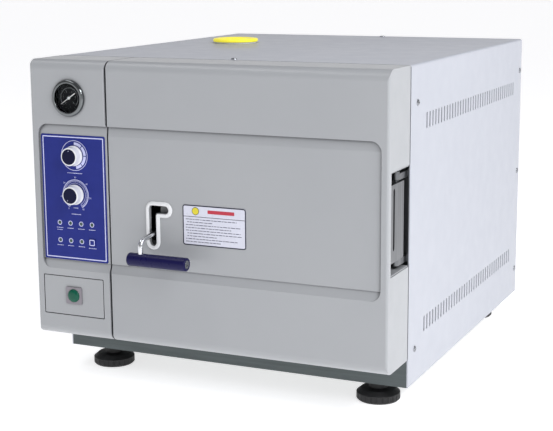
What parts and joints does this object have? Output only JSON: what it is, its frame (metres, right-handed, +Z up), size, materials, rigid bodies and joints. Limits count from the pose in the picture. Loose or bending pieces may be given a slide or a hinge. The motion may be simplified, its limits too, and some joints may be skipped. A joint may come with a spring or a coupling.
{
  "type": "benchtop autoclave",
  "caption": "Box-shaped steam steriliser with a side-hinged front door, slot-guided locking handle, gauge and dial controls, and a round pressure chamber with trays.",
  "frame": {"origin": "middle of the bounding box on the plane the feet stand on", "axes": "+Z up, +Y from the door towards the rear panel, +X to the right as seen from the front"},
  "size_m": [0.483, 0.6632, 0.4268],
  "materials": {
    "front_paint": "satin grey paint, fine texture",
    "casing_paint": "smooth pale powder coat",
    "galvanised_sheet": "plain folded sheet",
    "stainless": "brushed",
    "bright_steel": "polished",
    "plated_screws": "zinc plated",
    "overlay_blue": "printed polyester film",
    "lamp_ring": "lens in a pale ring",
    "key_pad": "satin",
    "circuit_board": "coated laminate",
    "black_moulding": "moulded",
    "dial_face": "printed",
    "clear_lens": "clear",
    "pointer_white": "matt",
    "phenolic": "moulded",
    "knob_white": "gloss",
    "knob_navy": "gloss",
    "bezel_mauve": "satin",
    "lens_green": "tinted, faceted",
    "trim_pale": "satin",
    "plate_white": "printed film",
    "dark_steel": "machined and blackened",
    "cast_beam": "painted casting",
    "silicone_red": "moulded silicone",
    "copper": "drawn tube",
    "brass": "machined",
    "band_mica": "clad",
    "glass_wool": "woven jacket",
    "tank_plastic": "translucent",
    "float_orange": "foam",
    "cap_yellow": "gloss",
    "lever_red": "moulded",
    "grip_blue": "moulded",
    "foot_rubber": "ribbed rubber"
  },
  "bodies": {
    "housing": {"base_tray": "galvanised_sheet", "front_frame": "galvanised_sheet", "casing": "casing_paint", "rear_panel": "casing_paint", "case_screws": "plated_screws", "control_housing": "front_paint", "control_overlay": "overlay_blue", "indicator_lamps": "lamp_ring", "control_board": "circuit_board", "gauge_case": "black_moulding", "gauge_bezel": "bright_steel", "gauge_lens": "clear_lens", "gauge_dial": "dial_face", "thermostat": "phenolic", "timer": "phenolic", "switch_plate": "front_paint", "switch_bezel": "bezel_mauve", "hinge_bracket": "dark_steel", "hinge_pin": "bright_steel", "latch_keeper": "dark_steel", "chamber_vessel": "stainless", "ring_bolts": "plated_screws", "heater_bands": "band_mica", "insulation_jacket": "glass_wool", "tray_rack": "stainless", "water_tank": "tank_plastic", "solenoid_valves": "black_moulding", "steam_pipes": "copper", "power_inlet": "black_moulding", "drain_valve": "brass", "safety_valve": "brass"},
    "needle": {"gauge_needle": "pointer_white"},
    "thermostat_dial": {"thermostat_knob": "knob_white", "thermostat_cap": "knob_navy"},
    "timer_dial": {"timer_knob": "knob_white", "timer_cap": "knob_navy"},
    "start_push": {"start_key": "key_pad"},
    "power_push": {"power_button": "lens_green"},
    "door": {"door_cover": "front_paint", "slot_trim": "trim_pale", "info_plate": "plate_white", "clamp_beam": "cast_beam", "lid_bolt": "bright_steel", "door_lid": "stainless", "door_seal": "silicone_red", "hinge_leaf": "dark_steel"},
    "handle": {"latch_shaft": "dark_steel", "handle_rod": "bright_steel", "handle_grip": "grip_blue", "grip_screw": "plated_screws"},
    "level_float": {"tank_float": "float_orange"},
    "cap": {"filler_cap": "cap_yellow"},
    "drain_lever": {"drain_knob": "lever_red"},
    "tray_low": {"lower_tray": "stainless"},
    "tray_mid": {"middle_tray": "stainless"},
    "tray_high": {"upper_tray": "stainless"},
    "foot_front_left": {"front_left_foot": "foot_rubber"},
    "foot_front_right": {"front_right_foot": "foot_rubber"},
    "foot_rear_left": {"rear_left_foot": "foot_rubber"},
    "foot_rear_right": {"rear_right_foot": "foot_rubber"}
  },
  "joints": [
    {"name": "door_swing", "type": "hinge", "parent": "housing", "child": "door", "pos_m": [0.2305, -0.24438, 0.242], "axis": [0, 0, 1], "range_deg": [0, 110]},
    {"name": "handle_lift", "type": "hinge", "parent": "door", "child": "handle", "pos_m": [-0.068, -0.25438, 0.214], "axis": [-1, 0, 0], "range_deg": [0, 36]},
    {"name": "needle_turn", "type": "hinge", "parent": "housing", "child": "needle", "pos_m": [-0.183, -0.29437, 0.373], "axis": [0, 1, 0], "range_deg": [0, 248], "stiffness_Nm_per_rad": 0.0002},
    {"name": "thermostat_turn", "type": "hinge", "parent": "housing", "child": "thermostat_dial", "pos_m": [-0.179, -0.29437, 0.3005], "axis": [0, 1, 0], "range_deg": [0, 270]},
    {"name": "timer_turn", "type": "hinge", "parent": "housing", "child": "timer_dial", "pos_m": [-0.179, -0.29437, 0.251], "axis": [0, 1, 0], "range_deg": [0, 300]},
    {"name": "start_press", "type": "slide", "parent": "housing", "child": "start_push", "axis": [0, 1, 0], "range_m": [0, 0.0008], "stiffness_N_per_m": 400},
    {"name": "power_press", "type": "slide", "parent": "housing", "child": "power_push", "axis": [0, 1, 0], "range_m": [0, 0.0025], "stiffness_N_per_m": 400},
    {"name": "float_rise", "type": "slide", "parent": "housing", "child": "level_float", "axis": [0, 0, 1], "range_m": [0, 0.12]},
    {"name": "cap_lift", "type": "slide", "parent": "housing", "child": "cap", "axis": [0, 0, 1], "range_m": [0, 0.03]},
    {"name": "drain_turn", "type": "hinge", "parent": "housing", "child": "drain_lever", "pos_m": [-0.06, 0.31062, 0.078], "axis": [0, 0, 1], "range_deg": [-90, 0]},
    {"name": "lower_tray_slide", "type": "slide", "parent": "housing", "child": "tray_low", "axis": [0, -1, 0], "range_m": [0, 0.06]},
    {"name": "middle_tray_slide", "type": "slide", "parent": "housing", "child": "tray_mid", "axis": [0, -1, 0], "range_m": [0, 0.06]},
    {"name": "upper_tray_slide", "type": "slide", "parent": "housing", "child": "tray_high", "axis": [0, -1, 0], "range_m": [0, 0.06]},
    {"name": "front_left_foot_turn", "type": "hinge", "parent": "housing", "child": "foot_front_left", "pos_m": [-0.192, -0.19037, 0.028], "axis": [0, 0, 1], "continuous": true},
    {"name": "front_right_foot_turn", "type": "hinge", "parent": "housing", "child": "foot_front_right", "pos_m": [0.192, -0.19037, 0.028], "axis": [0, 0, 1], "continuous": true},
    {"name": "rear_left_foot_turn", "type": "hinge", "parent": "housing", "child": "foot_rear_left", "pos_m": [-0.192, 0.23763, 0.028], "axis": [0, 0, 1], "continuous": true},
    {"name": "rear_right_foot_turn", "type": "hinge", "parent": "housing", "child": "foot_rear_right", "pos_m": [0.192, 0.23763, 0.028], "axis": [0, 0, 1], "continuous": true}
  ]
}
